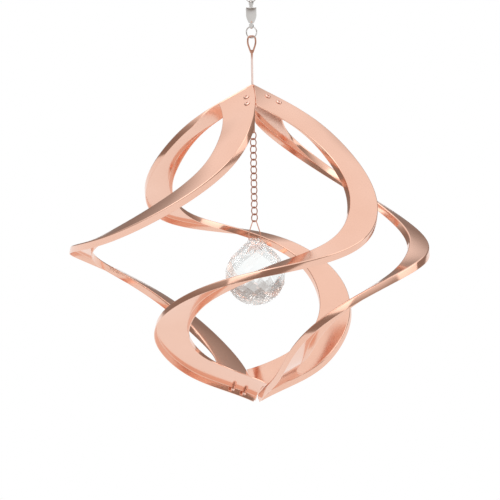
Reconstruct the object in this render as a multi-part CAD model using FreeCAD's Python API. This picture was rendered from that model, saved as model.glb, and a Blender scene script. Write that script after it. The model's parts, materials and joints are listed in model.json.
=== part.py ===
"""Copper wind spinner: four ribbons riveted into a cage round a crystal ball on a chain.

Millimetres, +Z up. The origin is the centre of the upper ring, where the spinner hangs.
Ribbon 1 bellies out to +Y (back), 2 to -X, 3 to -Y (front) and 4 to +X.
"""
import FreeCAD
import Part
import math
import os

V = FreeCAD.Vector
Z = V(0, 0, 1)

# ---- ribbons: pressed copper strip, one channel from the top joint to the bottom joint ----
SHEET = 0.8                 # sheet thickness
APEX_Z = -71.5              # level where the four top edges meet
BELLY_DROP = 128.5          # from the top joint down to the level that stations count from
# Stations of a ribbon that bellies out to -Y: share of its length, then the outer edge and the
# inner edge, each as degrees from -Y towards +X, distance from the axis, height.
STATIONS = [
    (0.060, (86.0, 24.0, 115.5), (36.5, 35.0, 100.0)),
    (0.125, (78.0, 51.5, 98.0), (49.0, 55.5, 84.0)),
    (0.200, (64.5, 79.0, 70.0), (44.5, 77.0, 62.0)),
    (0.300, (41.0, 111.0, 34.5), (28.0, 103.5, 33.5)),
    (0.400, (17.5, 139.0, 7.0), (10.5, 126.5, 10.0)),
    (0.500, (-7.0, 151.0, -6.0), (-8.0, 134.0, -5.0)),
    (0.600, (-26.5, 147.5, -18.0), (-25.0, 132.0, -22.0)),
    (0.700, (-48.0, 125.0, -42.5), (-40.0, 111.0, -44.0)),
    (0.800, (-69.0, 92.5, -77.0), (-53.0, 80.0, -74.0)),
    (0.875, (-82.0, 58.0, -105.0), (-50.0, 52.0, -95.5)),
    (0.940, (-87.5, 26.0, -120.0), (-25.0, 34.0, -107.5)),
]
BOTTOM_APEX = -131.2        # bottom joint, counted from the belly level
TOP_END = 0.070             # the end cut lies along this much of the neighbour's outer edge
BOTTOM_END = 0.088
# How far each hand-bent belly sits off its even place: degrees round the axis, mm up, share wider
BENT = {1: (5.0, 1.5, 0.02), 2: (6.0, 5.5, 0.0), 3: (7.0, 2.0, 0.055), 4: (-18.0, -0.5, -0.03)}
EVEN = (0.0, 0.0, 0.0)
QUARTER = {1: 180, 2: -90, 3: 0, 4: 90}     # turn of each ribbon round the axis
SECTIONS = 41               # sections along a ribbon
END_GAP = 0.0025             # share of the length left off at each end, for the fold
RIM = 5.0                   # depth of the turned-down rims
RIM_FLARE = math.radians(10)
LIP = 0.12                  # what is left of the outer rim under the top joint
RIM_START, RIM_FULL = 0.078, 0.135      # the outer rim grows between these shares
INNER_RIM = (0.06, 0.22, 0.80, 0.91)    # the inner rim is full between the middle two
TAB_GAP = 0.2               # between a tab and the neighbour's sheet
# Folded tabs and their rivets: reach and places as shares of the ribbon's length from its end,
# tab width and rivet distance from the neighbour's outer edge
TOP_TAB, TOP_TAB_WIDTH = (0.014, 0.066), 12.0
BOTTOM_TAB, BOTTOM_TAB_WIDTH = (0.014, 0.064), 9.0
TOP_RIVETS, TOP_INSET = (0.031, 0.053), 7.5
BOTTOM_RIVETS, BOTTOM_INSET = (0.029, 0.051), 4.8

# ---- blind rivets ----
RIVET_SHANK_R = 1.2
RIVET_HEAD_R, RIVET_HEAD_T = 2.6, 0.9
RIVET_TAIL_R, RIVET_TAIL_L = 1.75, 4.2
RIVET_BORE_R = 0.75
RIVET_SEAT = 0.12           # under the head and the bulge, for the sheet's curve
FIT = 0.05                  # clearance of pieces that touch

# ---- rings, swivel and hanger wire ----
RING_R, RING_WIRE_R = 4.6, 0.5
RING_TURN = -33.0           # plan angle of both rings
STUD_R = 1.9                # drilled stud at each end of the swivel
STUD_HOLE_R, STUD_HOLE_SHIFT = 1.0, 0.08
BARREL_R, BARREL_TOP, BARREL_SHOULDER, BARREL_BOTTOM = 4.35, -9.0, -15.6, -21.7
CAVITY_R, CAVITY_DEPTH = 3.2, 6.0
SPINDLE_R, SPINDLE_HEAD_R = 0.8, 3.0
CAP_T = 1.2
BALL_R, BALL_ORBIT, BALL_COUNT = 0.6, 2.1, 8
LOWER_RING_Z = -29.2
STEM_R = 0.9
HANGER_R = 0.7              # wire of the teardrop eye
HANGER_TURN = 17.0
HANGER_PLAY = 0.25          # between the teardrop eye and the lower ring
HANGER_EYE_R = 3.5          # half width of the teardrop eye, to the wire's centre
HANGER_EYE_LENGTH = 15.6
STEM_EYE_R, STEM_EYE_DROP = 1.7, 30.4   # small eye under the stem, below the top joint
STOP_R = 2.4                # crimped stop under the top joint
HOOK_R, HOOK_HALF = 0.45, 1.5           # long loop that joins the stem to the chain

# ---- chain, bail and crystal ----
LINK_COUNT = 13
LINK_R, LINK_WIRE_R = 3.3, 0.45
LINK_TURNS = (35.0, 125.0)
FIRST_LINK_DROP = 42.5      # from the top joint down to the first link's centre
BAIL_WIRE_R = 0.4
BAIL_DROP = 17.0            # from the bail's top to the hole through the neck
BAIL_HALF = 7.1
CRYSTAL_R = 25.0
CRYSTAL_SIDES = 14
CRYSTAL_DROP = 28.2         # from the hole to the ball's centre
CROWN_R, CROWN_Z = 4.1, 30.4    # flat top of the cone that the ball rises to, over its centre
CROWN_START, FIRST_KITE = 45.0, 33.0    # latitudes where the cone and the kite facets begin
CRYSTAL_FOOT = 0.97         # the kites end this share of the radius below the centre
HOLE_R = 0.6

BELLY_Z = APEX_Z - BELLY_DROP


def polar(place):
    """A point from (degrees from -Y towards +X, distance from the axis, height over the belly)."""
    turn, radius, height = place
    angle = math.radians(turn)
    return V(radius * math.sin(angle), -radius * math.cos(angle), height + BELLY_Z)


def turned(point, degrees):
    return FreeCAD.Rotation(Z, degrees).multVec(point)


def smooth(x):
    x = min(max(x, 0.0), 1.0)
    return x * x * (3.0 - 2.0 * x)


def curve_through(points, shares):
    curve = Part.BSplineCurve()
    curve.interpolate(Points=points, Parameters=shares)
    return curve


def bent(point, ramp, off):
    """A point of an even ribbon moved to where the hand-bent ribbon has it."""
    sway, lift, swell = (amount * ramp for amount in off)
    wide = 1.0 + swell
    return turned(V(point.x * wide, point.y * wide, point.z + lift), sway)


def edge_curves(off):
    """The outer and the inner edge of a ribbon, both over 0 to 1 from the top to the bottom."""
    shares = [0.0] + [s[0] for s in STATIONS] + [1.0]
    ramps = [smooth((min(s, 1.0 - s) - 0.08) / 0.2) for s in shares]
    outer = [V(0, 0, APEX_Z)] + [polar(s[1]) for s in STATIONS] + [V(0, 0, BELLY_Z + BOTTOM_APEX)]
    even = curve_through(outer, shares)
    first = turned(even.value(TOP_END), -90)
    last = turned(even.value(1.0 - BOTTOM_END), 90)
    inner = [first] + [polar(s[2]) for s in STATIONS] + [last]
    outer = [bent(p, r, off) for p, r in zip(outer, ramps)]
    inner = [bent(p, r, off) for p, r in zip(inner, ramps)]
    return curve_through(outer, shares), curve_through(inner, shares)


class Strip:
    """The middle surface of one ribbon: straight rulings from the outer to the inner edge."""

    def __init__(self, off):
        self.outer, self.inner = edge_curves(off)

    def frame(self, share):
        """Outer edge point, unit vector across, unit normal on the polished side, and width."""
        start = self.outer.value(share)
        across = self.inner.value(share) - start
        along = self.outer.getD1(share)[1] + self.inner.getD1(share)[1]
        width = across.Length
        across.normalize()
        normal = across.cross(along)
        normal.normalize()
        if normal.z < 0 and share < 0.4:
            normal = normal * -1
        return start, across, normal, width

    def at(self, share, u, v):
        start, across, normal, _ = self.frame(share)
        return start + across * u + normal * v

    def local_normal(self, share, u):
        """The sheet's own normal at u across: the rulings twist, so it leans from the mean."""
        _, across, mean, width = self.frame(share)
        k = u / width
        along = self.outer.getD1(share)[1] * (1.0 - k) + self.inner.getD1(share)[1] * k
        normal = across.cross(along)
        normal.normalize()
        return normal if normal.dot(mean) > 0 else normal * -1


def polygon(points):
    return Part.makePolygon(points + [points[0]])


def rim_depth(share):
    """Depth of the outer rim: a bare lip under the top joint, then the full rim."""
    grow = smooth((share - RIM_START) / (RIM_FULL - RIM_START))
    return LIP + (RIM - LIP) * grow


def inner_rim_depth(share):
    """Depth of the inner rim, which dies out towards both joints."""
    start, full, fade, end = INNER_RIM
    grow = smooth(min((share - start) / (full - start), (end - share) / (end - fade)))
    return LIP + (RIM - LIP) * grow


def channel_section(strip, share):
    """Section across the ribbon: the sheet with a rim turned down along each edge."""
    half = SHEET / 2
    sin, cos = math.sin(RIM_FLARE), math.cos(RIM_FLARE)
    width = strip.frame(share)[3]
    depth, inner = rim_depth(share), inner_rim_depth(share)
    flare = sin * (depth - LIP)
    corners = [
        (0.0, half),
        (width, half),
        (width + sin * inner, -half - cos * inner),
        (width + sin * inner - SHEET, -half - cos * inner),
        (width - SHEET, -half),
        (SHEET, -half),
        (SHEET - flare, -half - cos * depth),
        (-flare, -half - cos * depth),
    ]
    return polygon([strip.at(share, u, v) for u, v in corners])


def tab(strip, reach, full, side):
    """The tab of the ribbon that ends at this strip's outer edge, lying along this strip's
    sheet: under it at the top joint (side -1), over it at the bottom joint (side +1)."""
    near = SHEET / 2 + TAB_GAP
    far = near + SHEET
    wires = []
    steps = 6
    for i in range(steps):
        share = reach[0] + (reach[1] - reach[0]) * i / (steps - 1)
        at = share if side < 0 else 1.0 - share
        width = full - (3.0 if i in (0, steps - 1) else 0.0)
        corners = [(-1.05, near), (width, near), (width, far), (-0.95, far)]
        wires.append(polygon([strip.at(at, u, v * side) for u, v in corners]))
    return Part.makeLoft(wires, True, True)


def rivet_axes(strip, shares, inset):
    """Where each rivet passes this strip's sheet: the point on its middle and its normal."""
    return [(strip.at(s, inset, 0.0), strip.local_normal(s, inset)) for s in shares]


def top_axes(strip):
    return rivet_axes(strip, TOP_RIVETS, TOP_INSET)


def bottom_axes(strip):
    return rivet_axes(strip, [1.0 - s for s in BOTTOM_RIVETS], BOTTOM_INSET)


def rod(radius, start, end):
    return Part.makeCylinder(radius, (end - start).Length, start, end - start)


def spin(profile, base, axis):
    """A solid of revolution from (radius, height) points, set on base along axis."""
    wire = polygon([V(r, 0, h) for r, h in profile])
    solid = Part.Face(wire).revolve(V(0, 0, 0), Z, 360)
    solid.Placement = FreeCAD.Placement(base, FreeCAD.Rotation(Z, axis))
    return solid


def blind_rivet(base, normal, side):
    """A blind rivet: flanged head on the polished side, bulged tail behind. The tab lies behind
    the sheet at the top joint (side -1) and before it at the bottom joint (side +1)."""
    half = SHEET / 2
    stack = SHEET + TAB_GAP
    head = half + RIVET_SEAT + (stack if side > 0 else 0.0)
    tail = -half - RIVET_SEAT - (stack if side < 0 else 0.0)
    low = tail - RIVET_TAIL_L
    profile = [
        (RIVET_BORE_R, head + RIVET_HEAD_T),
        (RIVET_HEAD_R - 0.7, head + RIVET_HEAD_T),
        (RIVET_HEAD_R, head + 0.25),
        (RIVET_HEAD_R, head),
        (RIVET_SHANK_R, head),
        (RIVET_SHANK_R, tail),
        (RIVET_TAIL_R, tail),
        (RIVET_TAIL_R, low + 0.9),
        (RIVET_TAIL_R - 0.5, low),
        (RIVET_BORE_R, low),
    ]
    return spin(profile, base, normal)


def drill(base, normal):
    reach = normal * 5.0
    return rod(RIVET_SHANK_R + FIT, base - reach, base + reach)


def ribbon(number):
    """One ribbon with its two folded tabs, its rivet holes and its relief at the axis."""
    strip = Strip(BENT[number])
    even = Strip(EVEN)
    shares = []
    for i in range(SECTIONS):
        x = i / (SECTIONS - 1)
        shares.append(END_GAP + (1.0 - 2.0 * END_GAP) * (x - 0.05 * math.sin(4 * math.pi * x)))
    body = Part.makeLoft([channel_section(strip, s) for s in shares], True, False)
    top_tab = tab(even, TOP_TAB, TOP_TAB_WIDTH, -1)
    top_tab.rotate(V(0, 0, 0), Z, -90)
    bottom_tab = tab(even, BOTTOM_TAB, BOTTOM_TAB_WIDTH, 1)
    bottom_tab.rotate(V(0, 0, 0), Z, 90)
    body = body.fuse([top_tab, bottom_tab])
    cuts = []
    for axes, own_turn in ((top_axes(even), -90), (bottom_axes(even), 90)):
        for base, normal in axes:
            cuts.append(drill(base, normal))
            cuts.append(drill(turned(base, own_turn), turned(normal, own_turn)))
    cuts.append(rod(STEM_R + 0.2, V(0, 0, APEX_Z - 6), V(0, 0, APEX_Z + 3)))
    low = BELLY_Z + BOTTOM_APEX
    cuts.append(rod(0.6, V(0, 0, low - 9), V(0, 0, low + 5)))
    body = body.cut(cuts)
    body.rotate(V(0, 0, 0), Z, QUARTER[number])
    return body


def rivets(axes, side):
    solids = []
    for turn in QUARTER.values():
        for base, normal in axes:
            solids.append(blind_rivet(turned(base, turn), turned(normal, turn), side))
    return solids


def torus(center, radius, wire, turn):
    """A round ring that stands upright, its plane at a plan angle from +X."""
    axis = turned(V(0, -1, 0), turn)
    return Part.makeTorus(radius, wire, center, axis)


def bent_wire(points, radius, closed):
    """Round wire along straight runs with the corners rounded by tangent arcs."""
    count = len(points)
    edges = []
    corners = []
    span = range(count) if closed else range(1, count - 1)
    for i in span:
        here, before, after = points[i][0], points[i - 1][0], points[(i + 1) % count][0]
        a, b = before - here, after - here
        angle = a.getAngle(b)
        bend = points[i][1]
        back = bend / math.tan(angle / 2)
        a.normalize()
        b.normalize()
        middle = a + b
        middle.normalize()
        crown = here + middle * (bend / math.sin(angle / 2) - bend)
        corners.append((here + a * back, crown, here + b * back))
    ends = corners if closed else [(None, None, points[0][0])] + corners + [(points[-1][0],) * 3]
    for i in range(len(ends) - 1):
        edges.append(Part.LineSegment(ends[i][2], ends[i + 1][0]).toShape())
        if closed or i < len(ends) - 2:
            edges.append(Part.Arc(*ends[i + 1]).toShape())
    if closed:
        edges.append(Part.LineSegment(ends[-1][2], ends[0][0]).toShape())
        edges.append(Part.Arc(*ends[0]).toShape())
    path = Part.Wire(Part.__sortEdges__(edges))
    first = path.OrderedEdges[0]
    start = first.valueAt(first.FirstParameter)
    section = Part.Wire(Part.makeCircle(radius, start, first.tangentAt(first.FirstParameter)))
    return path.makePipeShell([section], True, True)


def upright(turn, points):
    """Points given as (sideways, height, bend) in an upright plane at a plan angle."""
    return [(turned(V(x, 0, z), turn), bend) for x, z, bend in points]


def drilled_stud(hole_z, side):
    """The swivel's end stud: a round stud with a domed end, cross-drilled for a ring's wire.
    side is +1 where the ring is above (upper stud) and -1 where it is below."""
    reach = turned(V(1, 0, 0), RING_TURN) * 4
    middle = V(0, 0, hole_z)
    stud = rod(STUD_R, middle, middle - Z * (2.2 * side))
    stud = stud.fuse(Part.makeSphere(STUD_R, middle))
    return stud.cut(rod(STUD_HOLE_R, middle - reach, middle + reach))


def swivel():
    """The ball-bearing swivel: spindle, barrel, cap, balls and lower stud."""
    upper_hole = -RING_R - STUD_HOLE_SHIFT
    lower_hole = LOWER_RING_Z + RING_R + STUD_HOLE_SHIFT
    head_z = BARREL_TOP - CAP_T - 2 * BALL_R - 2 * FIT
    floor = BARREL_TOP - CAVITY_DEPTH
    low = BARREL_BOTTOM
    spindle = drilled_stud(upper_hole, 1).fuse([
        rod(STUD_R - 0.4, V(0, 0, BARREL_TOP + 0.3), V(0, 0, upper_hole - 2.0)),
        rod(SPINDLE_R, V(0, 0, head_z), V(0, 0, BARREL_TOP + 0.4)),
        rod(SPINDLE_HEAD_R, V(0, 0, head_z - 1.2), V(0, 0, head_z)),
    ])
    barrel = spin([
        (CAVITY_R, floor), (CAVITY_R, BARREL_TOP - CAP_T), (BARREL_R - 0.5, BARREL_TOP - CAP_T),
        (BARREL_R - 0.5, BARREL_TOP), (BARREL_R - 0.3, BARREL_TOP), (BARREL_R, BARREL_TOP - 0.4),
        (BARREL_R, BARREL_SHOULDER), (BARREL_R - 0.4, BARREL_SHOULDER - 2.0),
        (BARREL_R - 1.2, BARREL_SHOULDER - 4.0), (2.2, low),
        (1.0, low), (1.0, floor),
    ], V(0, 0, 0), Z)
    cap = spin([
        (SPINDLE_R + 0.08, BARREL_TOP - CAP_T + FIT), (BARREL_R - 0.5 - FIT, BARREL_TOP - CAP_T + FIT),
        (BARREL_R - 0.5 - FIT, BARREL_TOP), (SPINDLE_R + 0.08, BARREL_TOP),
    ], V(0, 0, 0), Z)
    balls = []
    for i in range(BALL_COUNT):
        angle = 2 * math.pi * i / BALL_COUNT
        spot = V(BALL_ORBIT * math.cos(angle), BALL_ORBIT * math.sin(angle), head_z + FIT + BALL_R)
        balls.append(Part.makeSphere(BALL_R, spot))
    stud = drilled_stud(lower_hole, -1).fuse([
        rod(1.0 - FIT, V(0, 0, lower_hole + 2.0), V(0, 0, floor + 0.5)),
        rod(2.2, V(0, 0, floor + FIT), V(0, 0, floor + 1.0)),
    ])
    return spindle, barrel, cap, balls, stud


def hanger():
    """The hanger wire: teardrop eye, stem through the top joint and a small eye under it."""
    top = LOWER_RING_Z - RING_R + RING_WIRE_R + HANGER_R + HANGER_PLAY
    point = top - HANGER_EYE_LENGTH
    side = HANGER_EYE_R
    eye = bent_wire(upright(HANGER_TURN, [
        (0.0, point, 1.1), (side * 1.1, top - 5.5, 9.0), (side * 0.88, top, side * 0.72),
        (-side * 0.88, top, side * 0.72), (-side * 1.1, top - 5.5, 9.0),
    ]), HANGER_R, True)
    stem = rod(STEM_R, V(0, 0, stem_eye_z() + STEM_EYE_R - 0.2), V(0, 0, point + 4.4))
    loop = torus(V(0, 0, stem_eye_z()), STEM_EYE_R, HANGER_R, LINK_TURNS[0])
    return eye.fuse([stem, loop])


def stem_eye_z():
    return APEX_Z - STEM_EYE_DROP


def hook_top():
    return stem_eye_z() - STEM_EYE_R + HANGER_R + HOOK_R + FIT


def hook_bottom():
    return link_z(0) + LINK_R - 2 * HOOK_R - FIT


def chain_hook():
    """The long loop between the stem's eye and the first link."""
    high, low, half = hook_top(), hook_bottom(), HOOK_HALF
    return bent_wire(upright(LINK_TURNS[1], [
        (-half, low, half * 0.9), (-half, high, half * 0.9), (half, high, half * 0.9),
        (half, low, half * 0.9),
    ]), HOOK_R, True)


def stem_stop():
    """The bead crimped on the stem under the top joint; the cage rests on it."""
    top = APEX_Z - 3.9
    bore = STEM_R + FIT
    return spin([
        (bore, top), (1.3, top), (STOP_R, top - 1.6), (STOP_R, top - 4.2), (1.6, top - 5.4),
        (bore, top - 5.4),
    ], V(0, 0, 0), Z)


def link_z(index):
    return APEX_Z - FIRST_LINK_DROP - index * (2 * LINK_R - 2 * LINK_WIRE_R - FIT)


def bail_top():
    return link_z(LINK_COUNT - 1) - LINK_R + LINK_WIRE_R + BAIL_WIRE_R + FIT


def bail():
    top = bail_top()
    low = top - BAIL_DROP
    turn = LINK_TURNS[LINK_COUNT % 2]
    return bent_wire(upright(turn, [
        (-BAIL_HALF, low, 0.9), (-BAIL_HALF + 0.2, low + 6.5, 3.0), (-1.9, top, 1.7), (1.9, top, 1.7),
        (BAIL_HALF - 0.2, low + 6.5, 3.0), (BAIL_HALF, low, 0.9),
    ]), BAIL_WIRE_R, True)


def crystal_rings():
    """Rings of corners of the cut ball, as (radius, height, half step or not). Each kite facet
    has a corner on one ring, two on the next and one on the ring after, all in one plane."""
    shrink = math.cos(math.pi / CRYSTAL_SIDES)
    starts = (math.radians(CROWN_START), math.radians(FIRST_KITE))
    rings = [(CRYSTAL_R * math.cos(a), CRYSTAL_R * math.sin(a)) for a in starts]
    while rings[-1][1] > -CRYSTAL_R * CRYSTAL_FOOT:
        (ra, za), (rb, zb) = rings[-2], rings[-1]
        dr, dz = rb * shrink - ra, zb - za
        scale = -2 * (ra * dr + za * dz) / (dr * dr + dz * dz)
        rings.append((ra + dr * scale, za + dz * scale))
    return [(r, z, i % 2) for i, (r, z) in enumerate(rings)]


def ring_corners(radius, height, odd):
    step = 2 * math.pi / CRYSTAL_SIDES
    angles = [step * (k + 0.5 * odd) for k in range(CRYSTAL_SIDES)]
    return [V(radius * math.cos(a), radius * math.sin(a), height) for a in angles]


def crystal():
    """The cut glass ball: kite facets all round, rising to a drilled cone, hung on the bail."""
    hole = bail_top() - BAIL_DROP
    center = hole - CRYSTAL_DROP
    rings = [ring_corners(r, center + z, odd) for r, z, odd in crystal_rings()]
    crown = ring_corners(CROWN_R, center + CROWN_Z, 0)
    faces = [Part.Face(polygon(crown)), Part.Face(polygon(rings[-1]))]
    last = len(rings) - 1
    end, before = rings[last], rings[last - 1]
    for k in range(CRYSTAL_SIDES):
        after = (k + 1) % CRYSTAL_SIDES
        faces.append(Part.Face(polygon([crown[k], crown[after], rings[0][after], rings[0][k]])))
        faces.append(Part.Face(polygon([rings[0][k], rings[0][after], rings[1][k]])))
        for i in range(1, last):
            tip = after if i % 2 else k
            above, below = rings[i - 1][tip], rings[i + 1][tip]
            faces.append(Part.Face(polygon([above, rings[i][k], below, rings[i][after]])))
        mate = before[k] if last % 2 == 0 else before[after]
        faces.append(Part.Face(polygon([end[k], end[after], mate])))
    ball = Part.makeSolid(Part.makeShell(faces))
    across = turned(V(1, 0, 0), LINK_TURNS[LINK_COUNT % 2]) * 9
    return ball.cut(rod(HOLE_R, V(0, 0, hole) - across, V(0, 0, hole) + across))


def export(name, shape):
    solids = shape if isinstance(shape, list) else shape.Solids
    result = solids[0] if len(solids) == 1 else Part.makeCompound(solids)
    for solid in solids:
        if not solid.isValid() or solid.Volume <= 0:
            print("bad solid in", name, solid.Volume)
    if not isinstance(shape, list) and len(solids) != 1:
        print("expected one solid in", name, "but found", len(solids))
    result.exportStep("parts/" + name + ".step")


def main():
    os.makedirs("parts", exist_ok=True)
    for number in (1, 2, 3, 4):
        export("ribbon_%d" % number, ribbon(number))
    export("top_rivets", rivets(top_axes(Strip(EVEN)), -1))
    export("bottom_rivets", rivets(bottom_axes(Strip(EVEN)), 1))
    export("upper_ring", torus(V(0, 0, 0), RING_R, RING_WIRE_R, RING_TURN))
    spindle, barrel, cap, balls, stud = swivel()
    export("swivel_spindle", spindle)
    export("swivel_barrel", barrel)
    export("swivel_cap", cap)
    export("swivel_balls", balls)
    export("swivel_lower_stud", stud)
    export("lower_ring", torus(V(0, 0, LOWER_RING_Z), RING_R, RING_WIRE_R, RING_TURN))
    export("hanger_wire", hanger())
    export("stem_stop", stem_stop())
    export("chain_hook", chain_hook())
    for i in range(LINK_COUNT):
        link = torus(V(0, 0, link_z(i)), LINK_R, LINK_WIRE_R, LINK_TURNS[i % 2])
        export("chain_link_%02d" % (i + 1), link)
    export("crystal_bail", bail())
    export("crystal", crystal())


main()
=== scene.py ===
"""Looks of the copper wind spinner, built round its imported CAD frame. Metres, +Z up."""
import bpy
import json
import math
import numpy as np
from mathutils import Matrix, Vector


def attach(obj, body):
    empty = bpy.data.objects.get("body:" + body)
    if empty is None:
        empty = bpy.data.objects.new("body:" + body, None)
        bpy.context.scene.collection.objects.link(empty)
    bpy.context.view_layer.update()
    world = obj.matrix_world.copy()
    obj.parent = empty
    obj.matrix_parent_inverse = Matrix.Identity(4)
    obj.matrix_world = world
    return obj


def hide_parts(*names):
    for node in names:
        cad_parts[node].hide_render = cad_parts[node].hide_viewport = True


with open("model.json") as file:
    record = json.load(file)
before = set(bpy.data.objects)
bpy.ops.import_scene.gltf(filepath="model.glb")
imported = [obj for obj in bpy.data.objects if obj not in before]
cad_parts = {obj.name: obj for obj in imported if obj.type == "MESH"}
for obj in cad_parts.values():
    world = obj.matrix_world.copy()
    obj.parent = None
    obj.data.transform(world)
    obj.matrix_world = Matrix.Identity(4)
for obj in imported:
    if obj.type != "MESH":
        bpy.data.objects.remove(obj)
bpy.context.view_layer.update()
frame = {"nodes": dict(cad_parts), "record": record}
NODES = frame["nodes"]
MM = 0.001

# ---- the ribbons, as in the part (millimetres) ----
APEX_Z = -71.5
BELLY_Z = APEX_Z - 128.5
BOTTOM_APEX = -131.2
# share of the length, then outer and inner edge: degrees from -Y towards +X, radius, height
STATIONS = [
    (0.060, (86.0, 24.0, 115.5), (36.5, 35.0, 100.0)),
    (0.125, (78.0, 51.5, 98.0), (49.0, 55.5, 84.0)),
    (0.200, (64.5, 79.0, 70.0), (44.5, 77.0, 62.0)),
    (0.300, (41.0, 111.0, 34.5), (28.0, 103.5, 33.5)),
    (0.400, (17.5, 139.0, 7.0), (10.5, 126.5, 10.0)),
    (0.500, (-7.0, 151.0, -6.0), (-8.0, 134.0, -5.0)),
    (0.600, (-26.5, 147.5, -18.0), (-25.0, 132.0, -22.0)),
    (0.700, (-48.0, 125.0, -42.5), (-40.0, 111.0, -44.0)),
    (0.800, (-69.0, 92.5, -77.0), (-53.0, 80.0, -74.0)),
    (0.875, (-82.0, 58.0, -105.0), (-50.0, 52.0, -95.5)),
    (0.940, (-87.5, 26.0, -120.0), (-25.0, 34.0, -107.5)),
]
TOP_END, BOTTOM_END = 0.070, 0.088
# bend of each ribbon off its even place: degrees round the axis, mm up, share wider
BENT = {1: (5.0, 1.5, 0.02), 2: (6.0, 5.5, 0.0), 3: (7.0, 2.0, 0.055), 4: (-18.0, -0.5, -0.03)}
EVEN = (0.0, 0.0, 0.0)
QUARTER = {1: 180, 2: -90, 3: 0, 4: 90}
SHEET, TAB_GAP = 0.8, 0.2
END_GAP = 0.0025
RIM, RIM_FLARE, LIP = 5.0, math.radians(10), 0.12
RIM_START, RIM_FULL = 0.078, 0.135
INNER_RIM = (0.06, 0.22, 0.80, 0.91)
BEND, INNER_BEND, EDGE = 1.3, 0.55, 0.2      # outside and inside bend radius, broken edge
# tabs: reach as shares from the ribbon's end, and width; rivets: shares, and distance from the edge
TOP_TAB, TOP_TAB_WIDTH = (0.014, 0.066), 12.0
BOTTOM_TAB, BOTTOM_TAB_WIDTH = (0.014, 0.064), 9.0
TOP_RIVETS, TOP_INSET = (0.031, 0.053), 7.5
BOTTOM_RIVETS, BOTTOM_INSET = (0.971, 0.949), 4.8
RIVET_SEAT = 0.12
RIVET_HEAD_R, RIVET_BODY_R, RIVET_TAIL_R, RIVET_BORE_R = 2.6, 1.2, 1.75, 0.75
RIVET_HEAD, RIVET_TAIL = 0.9, 4.2            # height of the head, length of the tail
RIBBON_ROWS, TAB_ROWS = 260, 15              # cross sections along a ribbon and along a tab
END_CROWDING = 0.05                          # how much closer the rows lie at the ends and the belly

# ---- camera: degrees and metres, lens in millimetres ----
CAMERA_TURN = -9.2         # degrees the view is turned from looking along +Y
CAMERA_RISE = 5.8
CAMERA_ROLL = -0.93
CAMERA_FAR = 2.1476
LENS = 187.2
AIM_RIGHT, AIM_DOWN = -0.00413, 0.00843
FLOOR_Z = -0.75
# ---- studio: a white floor, dim warm walls and a white ceiling ----
FLOOR_WHITE = (1.0, 1.0, 1.0)
WALL_LOW, WALL_HIGH = (0.30, 0.24, 0.21), (0.46, 0.41, 0.38)
CEILING = (1.04, 1.02, 1.01)
FLOOR_HALF = 12.0
# softboxes: place, size (metres) and power (watts)
KEY = ((-1.0, -1.4, 1.6), (2.2, 2.2), 16.0)
FILL = ((1.9, -0.6, 0.9), (1.6, 1.6), 8.0)


def smooth(x):
    x = min(max(x, 0.0), 1.0)
    return x * x * (3.0 - 2.0 * x)


def polar(place):
    turn, radius, height = place
    angle = math.radians(turn)
    return np.array([radius * math.sin(angle), -radius * math.cos(angle), height + BELLY_Z])


def turned(point, degrees):
    c, s = math.cos(math.radians(degrees)), math.sin(math.radians(degrees))
    return np.array([c * point[0] - s * point[1], s * point[0] + c * point[1], point[2]])


def end_slope(t, p):
    """Slope at t[0] of the cubic through the first four points."""
    slope = np.zeros(3)
    for j in range(4):
        total = 0.0
        for m in range(4):
            if m == j:
                continue
            term = 1.0 / (t[j] - t[m])
            for k in range(4):
                if k != j and k != m:
                    term *= (t[0] - t[k]) / (t[j] - t[k])
            total += term
        slope += total * p[j]
    return slope


class Curve:
    """Cubic spline through points at given shares, like the part's own edge curves."""

    def __init__(self, shares, points):
        self.t = np.array(shares)
        self.p = np.array(points)
        n = len(self.t)
        h = np.diff(self.t)
        a = np.zeros((n, n))
        b = np.zeros((n, 3))
        a[0, 0] = a[-1, -1] = 1.0
        b[0] = end_slope(self.t[:4], self.p[:4])
        b[-1] = end_slope(self.t[::-1][:4], self.p[::-1][:4])
        for i in range(1, n - 1):
            a[i, i - 1] = h[i]
            a[i, i] = 2.0 * (h[i - 1] + h[i])
            a[i, i + 1] = h[i - 1]
            before = (self.p[i] - self.p[i - 1]) / h[i - 1]
            after = (self.p[i + 1] - self.p[i]) / h[i]
            b[i] = 3.0 * (h[i] * before + h[i - 1] * after)
        self.m = np.linalg.solve(a, b)

    def at(self, x):
        i = int(np.clip(np.searchsorted(self.t, x) - 1, 0, len(self.t) - 2))
        h = self.t[i + 1] - self.t[i]
        u = (x - self.t[i]) / h
        p0, p1, m0, m1 = self.p[i], self.p[i + 1], self.m[i] * h, self.m[i + 1] * h
        value = (2*u**3 - 3*u**2 + 1)*p0 + (u**3 - 2*u**2 + u)*m0
        value = value + (3*u**2 - 2*u**3)*p1 + (u**3 - u**2)*m1
        slope = (6*u**2 - 6*u)*p0 + (3*u**2 - 4*u + 1)*m0
        slope = slope + (6*u - 6*u**2)*p1 + (3*u**2 - 2*u)*m1
        return value, slope / h


def unit(v):
    return v / np.linalg.norm(v)


def bent(point, ramp, off):
    """A point of the even ribbon moved to where the bent ribbon has it."""
    sway, lift, swell = (amount * ramp for amount in off)
    wide = 1.0 + swell
    return turned((point[0] * wide, point[1] * wide, point[2] + lift), sway)


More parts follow.
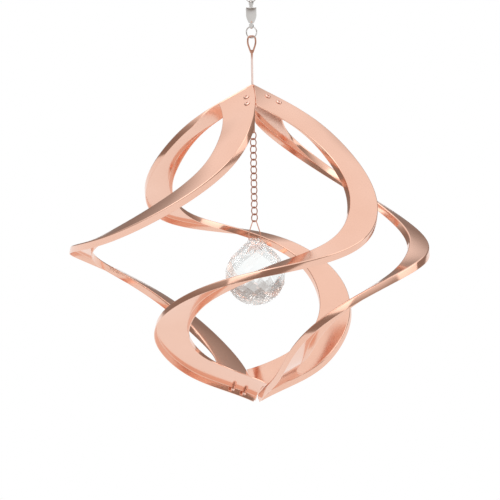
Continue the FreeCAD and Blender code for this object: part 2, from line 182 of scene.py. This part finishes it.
class Strip:
    """The middle surface of one ribbon."""

    def __init__(self, off):
        shares = [0.0] + [s[0] for s in STATIONS] + [1.0]
        ramps = [smooth((min(s, 1.0 - s) - 0.08) / 0.2) for s in shares]
        outer = [np.array([0, 0, APEX_Z])] + [polar(s[1]) for s in STATIONS]
        outer.append(np.array([0, 0, BELLY_Z + BOTTOM_APEX]))
        even = Curve(shares, outer)
        first = turned(even.at(TOP_END)[0], -90)
        last = turned(even.at(1.0 - BOTTOM_END)[0], 90)
        inner = [first] + [polar(s[2]) for s in STATIONS] + [last]
        self.outer = Curve(shares, [bent(p, r, off) for p, r in zip(outer, ramps)])
        self.inner = Curve(shares, [bent(p, r, off) for p, r in zip(inner, ramps)])

    def frame(self, share):
        start, along_o = self.outer.at(share)
        end, along_i = self.inner.at(share)
        width = np.linalg.norm(end - start)
        across = (end - start) / width
        normal = unit(np.cross(across, along_o + along_i))
        if normal[2] < 0 and share < 0.4:
            normal = -normal
        return start, across, normal, width

    def at(self, share, u, v):
        start, across, normal, _ = self.frame(share)
        return start + across * u + normal * v

    def local_normal(self, share, u):
        start, across, mean, width = self.frame(share)
        k = u / width
        along = self.outer.at(share)[1] * (1.0 - k) + self.inner.at(share)[1] * k
        normal = unit(np.cross(across, along))
        return normal if normal @ mean > 0 else -normal


def rounded(corners, radii, steps):
    """A closed outline with each corner replaced by a round curve of steps points."""
    points = []
    count = len(corners)
    for i in range(count):
        here = np.array(corners[i])
        a = np.array(corners[i - 1]) - here
        b = np.array(corners[(i + 1) % count]) - here
        la, lb = np.linalg.norm(a), np.linalg.norm(b)
        a, b = a / la, b / lb
        half = 0.5 * math.acos(float(np.clip(a @ b, -1, 1)))
        back = min(radii[i] / math.tan(half), 0.45 * la, 0.45 * lb)
        for k in range(steps):
            w = k / (steps - 1)
            start, end = here + a * back, here + b * back
            points.append((1 - w)**2 * start + 2 * w * (1 - w) * here + w**2 * end)
    return points


def channel_outline(width, depth, inner):
    """Section of a ribbon: a web with an outer rim of the given depth and an inner rim."""
    half = SHEET / 2
    sin, cos = math.sin(RIM_FLARE), math.cos(RIM_FLARE)
    flare = sin * (depth - LIP)
    corners = [
        (0.0, half), (width, half),
        (width + sin * inner, -half - cos * inner),
        (width + sin * inner - SHEET, -half - cos * inner),
        (width - SHEET, -half), (SHEET, -half),
        (SHEET - flare, -half - cos * depth), (-flare, -half - cos * depth),
    ]
    return rounded(corners, [BEND, BEND, EDGE, EDGE, INNER_BEND, INNER_BEND, EDGE, EDGE], 6)


def rim_depth(share):
    return LIP + (RIM - LIP) * smooth((share - RIM_START) / (RIM_FULL - RIM_START))


def inner_rim_depth(share):
    start, full, fade, end = INNER_RIM
    grow = smooth(min((share - start) / (full - start), (end - share) / (end - fade)))
    return LIP + (RIM - LIP) * grow


def skin(rows):
    """Vertices and faces of a closed tube through equal rows of points, capped at both ends."""
    count = len(rows[0])
    verts = [tuple(p) for row in rows for p in row]
    faces = []
    for r in range(len(rows) - 1):
        for k in range(count):
            a, b = r * count + k, r * count + (k + 1) % count
            faces.append((a, b, b + count, a + count))
    faces.append(tuple(range(count - 1, -1, -1)))
    last = (len(rows) - 1) * count
    faces.append(tuple(range(last, last + count)))
    return verts, faces


def merged(parts):
    verts, faces = [], []
    for v, f in parts:
        base = len(verts)
        verts += v
        faces += [tuple(base + i for i in face) for face in f]
    return verts, faces


def mesh_object(name, verts, faces, sharp=35.0, scale=MM):
    mesh = bpy.data.meshes.new(name)
    mesh.from_pydata([tuple(c * scale for c in v) for v in verts], [], faces)
    mesh.validate()
    mesh.shade_smooth()
    mesh.set_sharp_from_angle(angle=math.radians(sharp))
    mesh.update()
    obj = bpy.data.objects.new(name, mesh)
    bpy.context.scene.collection.objects.link(obj)
    return obj


def tab_rows(strip, reach, full, side, turn):
    """Sections of a folded tab that lies on the next ribbon, above it or below it by side."""
    near = SHEET / 2 + TAB_GAP
    far = near + SHEET
    rows = []
    for i in range(TAB_ROWS):
        w = i / (TAB_ROWS - 1)
        share = reach[0] + (reach[1] - reach[0]) * w
        at = share if side < 0 else 1.0 - share
        width = full - 3.0 * abs(2 * w - 1)**6
        corners = [(-1.05, near), (width, near), (width, far), (-0.95, far)]
        outline = rounded(corners, [0.4, EDGE, EDGE, 0.2], 4)
        rows.append([turned(strip.at(at, u, v * side), turn) for u, v in outline])
    return rows


def ribbon(number):
    strip, even = Strip(BENT[number]), Strip(EVEN)
    rows = []
    for i in range(RIBBON_ROWS + 1):
        x = i / RIBBON_ROWS
        share = END_GAP + (1.0 - 2.0 * END_GAP) * (x - END_CROWDING * math.sin(4 * math.pi * x))
        width = strip.frame(share)[3]
        outline = channel_outline(width, rim_depth(share), inner_rim_depth(share))
        rows.append([strip.at(share, u, v) for u, v in outline])
    parts = [skin(rows)]
    parts.append(skin(tab_rows(even, TOP_TAB, TOP_TAB_WIDTH, -1, -90)))
    parts.append(skin(tab_rows(even, BOTTOM_TAB, BOTTOM_TAB_WIDTH, 1, 90)))
    verts, faces = merged(parts)
    verts = [turned(v, QUARTER[number]) for v in verts]
    return mesh_object("ribbon_skin_%d" % number, verts, faces)


def revolved(profile, base, axis, sides=36):
    """Vertices and faces of a ring turned from a closed (radius, height) profile."""
    helper = Vector((0, 0, 1)).rotation_difference(Vector(axis)).to_matrix()
    verts, faces = [], []
    n = len(profile)
    for i in range(sides):
        angle = 2 * math.pi * i / sides
        for r, h in profile:
            spot = helper @ Vector((r * math.cos(angle), r * math.sin(angle), h))
            verts.append(tuple(np.array(spot) + base))
    for i in range(sides):
        for k in range(n):
            a, b = i * n + k, i * n + (k + 1) % n
            c, d = ((i + 1) % sides) * n + (k + 1) % n, ((i + 1) % sides) * n + k
            faces.append((a, d, c, b))
    return verts, faces


def rivet_profile(side):
    """Head on the polished side, bulged tail behind, a mandrel bore right through."""
    half = SHEET / 2
    stack = SHEET + TAB_GAP
    head = half + RIVET_SEAT + (stack if side > 0 else 0.0)
    tail = -half - RIVET_SEAT - (stack if side < 0 else 0.0)
    low = tail - RIVET_TAIL
    top = head + RIVET_HEAD
    corners = [
        (RIVET_BORE_R, top), (1.9, top), (RIVET_HEAD_R, head + 0.25), (RIVET_HEAD_R, head),
        (RIVET_BODY_R, head), (RIVET_BODY_R, tail), (RIVET_TAIL_R, tail), (RIVET_TAIL_R, low + 0.9),
        (1.25, low), (RIVET_BORE_R, low),
    ]
    return rounded(corners, [0.3, 0.7, 0.3, 0.1, 0.1, 0.1, 0.4, 0.8, 0.4, 0.2], 5)


def rivets(name, shares, inset, side):
    even = Strip(EVEN)
    profile = [tuple(p) for p in rivet_profile(side)]
    parts = []
    for number in (1, 2, 3, 4):
        for share in shares:
            base = turned(even.at(share, inset, 0.0), QUARTER[number])
            axis = turned(even.local_normal(share, inset), QUARTER[number])
            parts.append(revolved(profile, base, axis))
    return mesh_object(name, *merged(parts), sharp=50.0)


def swivel_barrel():
    """The swivel's barrel, turned smooth, with a soft shoulder down to its foot."""
    corners = [
        (3.2, -15.0), (3.2, -10.2), (3.85, -10.2), (3.85, -9.0), (4.05, -9.0), (4.35, -9.4),
        (4.35, -15.6), (3.95, -17.6), (3.15, -19.6), (2.2, -21.7), (1.0, -21.7), (1.0, -15.0),
    ]
    radii = [0.2, 0.1, 0.1, 0.05, 0.1, 0.3, 3.0, 4.0, 4.0, 0.3, 0.1, 0.2]
    profile = [tuple(p) for p in rounded(corners, radii, 6)]
    return mesh_object("swivel_barrel_turned", *revolved(profile, np.zeros(3), (0, 0, 1), 64))


# ---- materials ----
def node(tree, kind, **values):
    item = tree.nodes.new(kind)
    for key, value in values.items():
        setattr(item, key, value)
    return item


def new_material(name):
    material = bpy.data.materials.new(name)
    material.use_nodes = True
    tree = material.node_tree
    shader = tree.nodes["Principled BSDF"]
    place = node(tree, "ShaderNodeTexCoord")
    return material, tree, shader, place


def ramp(tree, source, low, high, start=0.3, end=0.7):
    item = node(tree, "ShaderNodeMapRange")
    item.inputs["From Min"].default_value = start
    item.inputs["From Max"].default_value = end
    item.inputs["To Min"].default_value = low
    item.inputs["To Max"].default_value = high
    tree.links.new(source, item.inputs["Value"])
    return item.outputs["Result"]


def noise(tree, place, scale, detail=3.0, stretch=None):
    item = node(tree, "ShaderNodeTexNoise")
    item.inputs["Scale"].default_value = scale
    item.inputs["Detail"].default_value = detail
    source = place.outputs["Object"]
    if stretch:
        mapping = node(tree, "ShaderNodeMapping")
        mapping.inputs["Scale"].default_value = stretch
        tree.links.new(source, mapping.inputs["Vector"])
        source = mapping.outputs["Vector"]
    tree.links.new(source, item.inputs["Vector"])
    return item.outputs["Fac"]


def mixed_colour(tree, factor, a, b):
    item = node(tree, "ShaderNodeMix", data_type="RGBA")
    item.inputs["A"].default_value = (*a, 1)
    item.inputs["B"].default_value = (*b, 1)
    tree.links.new(factor, item.inputs["Factor"])
    return item.outputs["Result"]


def gradient(tree, source, stops):
    """A colour ramp with the given (position, colour) stops."""
    item = node(tree, "ShaderNodeValToRGB")
    item.color_ramp.elements[0].position, item.color_ramp.elements[1].position = 0.0, 1.0
    for position, _ in stops[1:-1]:
        item.color_ramp.elements.new(position)
    for element, (_, colour) in zip(item.color_ramp.elements, stops):
        element.color = (*colour, 1)
    tree.links.new(source, item.inputs["Fac"])
    return item.outputs["Color"]


def blend(tree, factor, a, b):
    item = node(tree, "ShaderNodeMix", data_type="RGBA")
    tree.links.new(factor, item.inputs["Factor"])
    tree.links.new(a, item.inputs["A"])
    tree.links.new(b, item.inputs["B"])
    return item.outputs["Result"]


def bump(tree, shader, height, strength, distance):
    item = node(tree, "ShaderNodeBump")
    item.inputs["Strength"].default_value = strength
    item.inputs["Distance"].default_value = distance
    tree.links.new(height, item.inputs["Height"])
    tree.links.new(item.outputs["Normal"], shader.inputs["Normal"])


def metal(name, light, dark, rough_low, rough_high, wave, fine_scale=900.0):
    """Metal with cloudy tone, fine rolling marks and a slightly uneven polish."""
    material, tree, shader, place = new_material(name)
    shader.inputs["Metallic"].default_value = 1.0
    cloud = noise(tree, place, 22.0, 4.0)
    colour = mixed_colour(tree, ramp(tree, cloud, 0.0, 1.0), light, dark)
    tree.links.new(colour, shader.inputs["Base Color"])
    grain = noise(tree, place, fine_scale, 2.0)
    patch = noise(tree, place, 60.0, 3.0)
    rough = ramp(tree, patch, rough_low, rough_high)
    tree.links.new(rough, shader.inputs["Roughness"])
    height = node(tree, "ShaderNodeMath", operation="MULTIPLY_ADD")
    tree.links.new(grain, height.inputs[0])
    height.inputs[1].default_value = 0.01
    slow = noise(tree, place, 14.0, 1.0)
    tree.links.new(slow, height.inputs[2])
    bump(tree, shader, height.outputs["Value"], 1.0, wave)
    return material


def copper_with_painted_highlight(name):
    """Copper wire that is darker at its eye than along its stem; the stem's pale pink colour is a painted
    highlight.
    """
    # the pale pink stem colour is a painted highlight, lighter than the copper's own tone
    material = metal(name, (0.98, 0.80, 0.74), (0.95, 0.74, 0.67), 0.3, 0.4, 0.00003)
    tree = material.node_tree
    shader = tree.nodes["Principled BSDF"]
    stem = shader.inputs["Base Color"].links[0].from_socket
    place = node(tree, "ShaderNodeTexCoord")
    eye = mixed_colour(tree, noise(tree, place, 200.0), (0.66, 0.36, 0.26), (0.46, 0.23, 0.16))
    split = node(tree, "ShaderNodeSeparateXYZ")
    tree.links.new(place.outputs["Object"], split.inputs["Vector"])
    # above this height the darker eye colour takes over from the stem's painted highlight
    high = ramp(tree, split.outputs["Z"], 0.0, 1.0, -0.052, -0.047)
    tree.links.new(blend(tree, high, stem, eye), shader.inputs["Base Color"])
    return material


def glass(name):
    material, tree, shader, place = new_material(name)
    shader.inputs["Base Color"].default_value = (0.94, 0.98, 0.97, 1)
    shader.inputs["Transmission Weight"].default_value = 1.0
    shader.inputs["IOR"].default_value = 1.5
    shader.inputs["Alpha"].default_value = 0.58
    patch = noise(tree, place, 90.0, 2.0)
    tree.links.new(ramp(tree, patch, 0.0, 0.025), shader.inputs["Roughness"])
    return material


COPPER = metal("copper_sheet", (0.88, 0.56, 0.44), (0.84, 0.52, 0.40), 0.10, 0.17, 0.0003)
RIVET = metal("copper_rivet", (0.92, 0.62, 0.52), (0.84, 0.52, 0.41), 0.18, 0.28, 0.00005)
WIRE = metal("copper_wire", (0.80, 0.45, 0.33), (0.66, 0.35, 0.25), 0.2, 0.32, 0.00003)
# copper for the hanger wire, with a painted highlight along its stem
HANGER_PAINTED_HIGHLIGHT = copper_with_painted_highlight("copper_with_painted_highlight")
CHAIN = metal("copper_chain", (0.56, 0.29, 0.20), (0.38, 0.18, 0.12), 0.22, 0.38, 0.00003)
NICKEL = metal("nickel", (0.70, 0.68, 0.66), (0.52, 0.50, 0.48), 0.06, 0.14, 0.00002)
GLASS = glass("cut_glass")

SLOT_LOOK = {
    "copper_strip": COPPER, "rivet_copper": RIVET, "copper_wire": WIRE, "copper_chain": CHAIN,
    "crystal_glass": GLASS, "nickel_wire": NICKEL, "nickel_swivel": NICKEL, "steel_balls": NICKEL,
}


def dress(obj, material):
    if not obj.material_slots:
        obj.data.materials.append(material)
    for slot in obj.material_slots:
        slot.link = "OBJECT"
        slot.material = material


def build_object():
    slots = {s["node"]: s["material_slot"] for s in frame["record"]["subparts"]}
    for number in (1, 2, 3, 4):
        piece = ribbon(number)
        dress(piece, COPPER)
        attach(piece, "cage")
        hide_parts("ribbon_%d" % number)
    for name, shares, inset, side in (("top_rivets", TOP_RIVETS, TOP_INSET, -1),
                                      ("bottom_rivets", BOTTOM_RIVETS, BOTTOM_INSET, 1)):
        piece = rivets(name + "_turned", shares, inset, side)
        dress(piece, RIVET)
        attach(piece, "cage")
        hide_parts(name)
    barrel = swivel_barrel()
    dress(barrel, NICKEL)
    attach(barrel, "barrel")
    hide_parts("swivel_barrel")
    for name, obj in NODES.items():
        dress(obj, HANGER_PAINTED_HIGHLIGHT if name == "hanger_wire" else SLOT_LOOK[slots[name]])


# ---- stage ----
def world_light():
    """Studio walls, warm and dim low down, under a white ceiling; white at the floor's edge."""
    world = bpy.data.worlds.new("studio")
    bpy.context.scene.world = world
    world.use_nodes = True
    tree = world.node_tree
    place = node(tree, "ShaderNodeTexCoord")
    split = node(tree, "ShaderNodeSeparateXYZ")
    tree.links.new(place.outputs["Generated"], split.inputs["Vector"])
    height = ramp(tree, split.outputs["Z"], 0.0, 1.0, 0.0, 1.0)
    walls = gradient(tree, height, [
        (0.0, FLOOR_WHITE), (0.01, FLOOR_WHITE), (0.03, WALL_LOW), (0.30, WALL_LOW), (0.48, WALL_HIGH),
        (0.66, CEILING), (1.0, CEILING),
    ])
    tree.links.new(walls, tree.nodes["Background"].inputs["Color"])


def floor():
    """A plain white floor, lit evenly from within like a light table."""
    half = FLOOR_HALF
    verts = [(-half, -half, FLOOR_Z), (half, -half, FLOOR_Z), (half, half, FLOOR_Z), (-half, half, FLOOR_Z)]
    plane = mesh_object("floor", verts, [(0, 1, 2, 3)], scale=1.0)
    material, _, shader, _ = new_material("pale_floor")
    shader.inputs["Base Color"].default_value = (0.0, 0.0, 0.0, 1)
    shader.inputs["Specular IOR Level"].default_value = 0.0
    shader.inputs["Emission Color"].default_value = (*FLOOR_WHITE, 1)
    shader.inputs["Emission Strength"].default_value = 1.0
    dress(plane, material)


def softbox(name, spot, size, power, target):
    """A soft rectangular lamp that faces the target."""
    data = bpy.data.lights.new(name, "AREA")
    data.shape = "RECTANGLE"
    data.size, data.size_y = size
    data.energy = power
    lamp = bpy.data.objects.new(name, data)
    lamp.location = spot
    lamp.rotation_euler = (Vector(target) - Vector(spot)).to_track_quat("-Z", "Y").to_euler()
    bpy.context.scene.collection.objects.link(lamp)


def camera():
    """The view: turned and raised about the middle of the bellies, then aimed a little off it."""
    turn, rise = math.radians(CAMERA_TURN - 90), math.radians(CAMERA_RISE)
    middle = Vector((0, 0, BELLY_Z * MM))
    out = Vector((math.cos(turn) * math.cos(rise), math.sin(turn) * math.cos(rise), math.sin(rise)))
    right = Vector((-math.sin(turn), math.cos(turn), 0))
    up = out.cross(right)
    place = middle + out * CAMERA_FAR
    aim = middle + right * AIM_RIGHT - up * AIM_DOWN
    data = bpy.data.cameras.new("view")
    data.lens = LENS
    data.sensor_width = 36.0
    item = bpy.data.objects.new("view", data)
    look = (aim - place).to_track_quat("-Z", "Y").to_matrix().to_4x4()
    item.matrix_world = Matrix.Translation(place) @ look @ Matrix.Rotation(math.radians(CAMERA_ROLL), 4, "Z")
    bpy.context.scene.collection.objects.link(item)
    bpy.context.scene.camera = item


def main():
    build_object()
    world_light()
    floor()
    middle = (0, 0, BELLY_Z * MM)
    softbox("key", *KEY, middle)
    softbox("fill", *FILL, middle)
    camera()
    bpy.context.scene.view_settings.view_transform = "Standard"


main()
